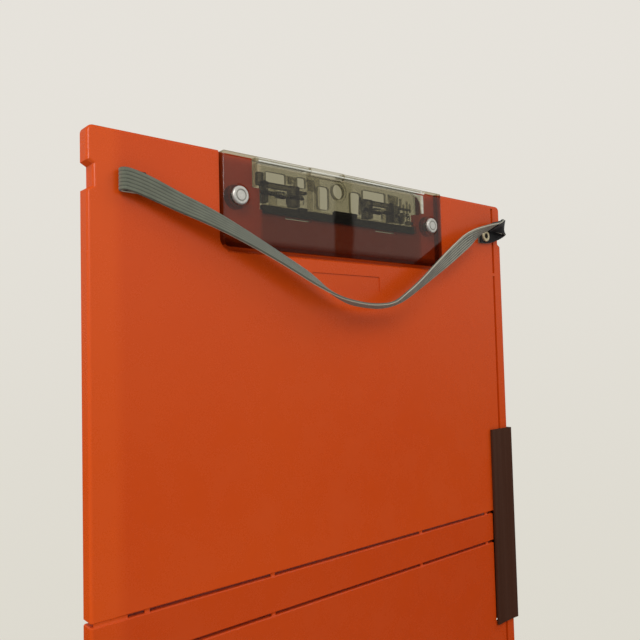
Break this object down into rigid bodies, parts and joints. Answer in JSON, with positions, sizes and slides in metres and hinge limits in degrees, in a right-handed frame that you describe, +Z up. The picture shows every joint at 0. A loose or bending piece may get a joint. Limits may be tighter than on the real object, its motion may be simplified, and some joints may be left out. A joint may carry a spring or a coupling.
{
  "type": "folding clipboard",
  "caption": "Orange plastic clipboard that folds in half about a narrow spine, with a flat smoke-clear spring clip, an elastic strap, a hanging hole and a sliding edge lock.",
  "frame": {"origin": "middle of the hanging hole, in the plane of the board's back, which lies against the wall", "axes": "+Z up towards the clip's top edge, +X to the right seen from the front, +Y into the wall; the front faces -Y"},
  "size_m": [0.2366, 0.0186, 0.3466],
  "materials": {
    "orange_plastic": "moulded orange polypropylene with a fine grain, satin",
    "brown_plastic": "dark brown moulded plastic, satin",
    "smoke_plastic": "smoke-tinted clear plastic, polished",
    "bracket_plastic": "smoke-tinted plastic, seen through the cover",
    "black_rubber": "black rubber, dull",
    "sage_elastic": "flat ribbed elastic, grey-green",
    "black_webbing": "black woven tape, ribbed",
    "rivet_steel": "bright turned rivet metal",
    "spring_steel": "spring wire and ground rod",
    "eyelet_brass": "polished brass"
  },
  "bodies": {
    "upper": {"upper_board": "orange_plastic", "clip_cover": "smoke_plastic", "clip_back_plate": "smoke_plastic", "axle_bracket_left": "bracket_plastic", "axle_bracket_right": "bracket_plastic", "rocker_spring_left": "spring_steel", "rocker_spring_right": "spring_steel", "rocker_axle_left": "spring_steel", "rocker_axle_right": "spring_steel", "rivet_left": "rivet_steel", "rivet_right": "rivet_steel", "rivet_washer_left": "rivet_steel", "rivet_washer_right": "rivet_steel", "eyelet_left": "eyelet_brass", "eyelet_right": "eyelet_brass", "eyelet_washer_left": "eyelet_brass", "eyelet_washer_right": "eyelet_brass", "elastic_strap": "sage_elastic", "strap_lining_left": "black_webbing", "strap_lining_right": "black_webbing", "upper_fold_webs": "orange_plastic"},
    "rocker": {"clamp_rocker": "smoke_plastic", "grip_bar": "black_rubber"},
    "spine": {"spine_strip": "orange_plastic", "lower_fold_webs": "orange_plastic"},
    "lower": {"lower_board": "orange_plastic"},
    "lock": {"edge_lock": "brown_plastic"}
  },
  "joints": [
    {"name": "upper_fold", "type": "hinge", "parent": "upper", "child": "spine", "pos_m": [0, -0.0053, -0.1592], "axis": [-1, 0, 0], "range_deg": [0, 90], "deforming": ["upper_fold_webs"]},
    {"name": "lower_fold", "type": "hinge", "parent": "spine", "child": "lower", "pos_m": [0, -0.0053, -0.1744], "axis": [-1, 0, 0], "range_deg": [0, 90], "deforming": ["lower_fold_webs"]},
    {"name": "lock_slide", "type": "slide", "parent": "upper", "child": "lock", "axis": [0, 0, 1], "range_m": [0, 0.06]},
    {"name": "clamp_tilt", "type": "hinge", "parent": "upper", "child": "rocker", "pos_m": [0, -0.0031, -0.0065], "axis": [-1, 0, 0], "range_deg": [0, 5.5], "stiffness_Nm_per_rad": 0.2, "springref_deg": -20.05}
  ]
}
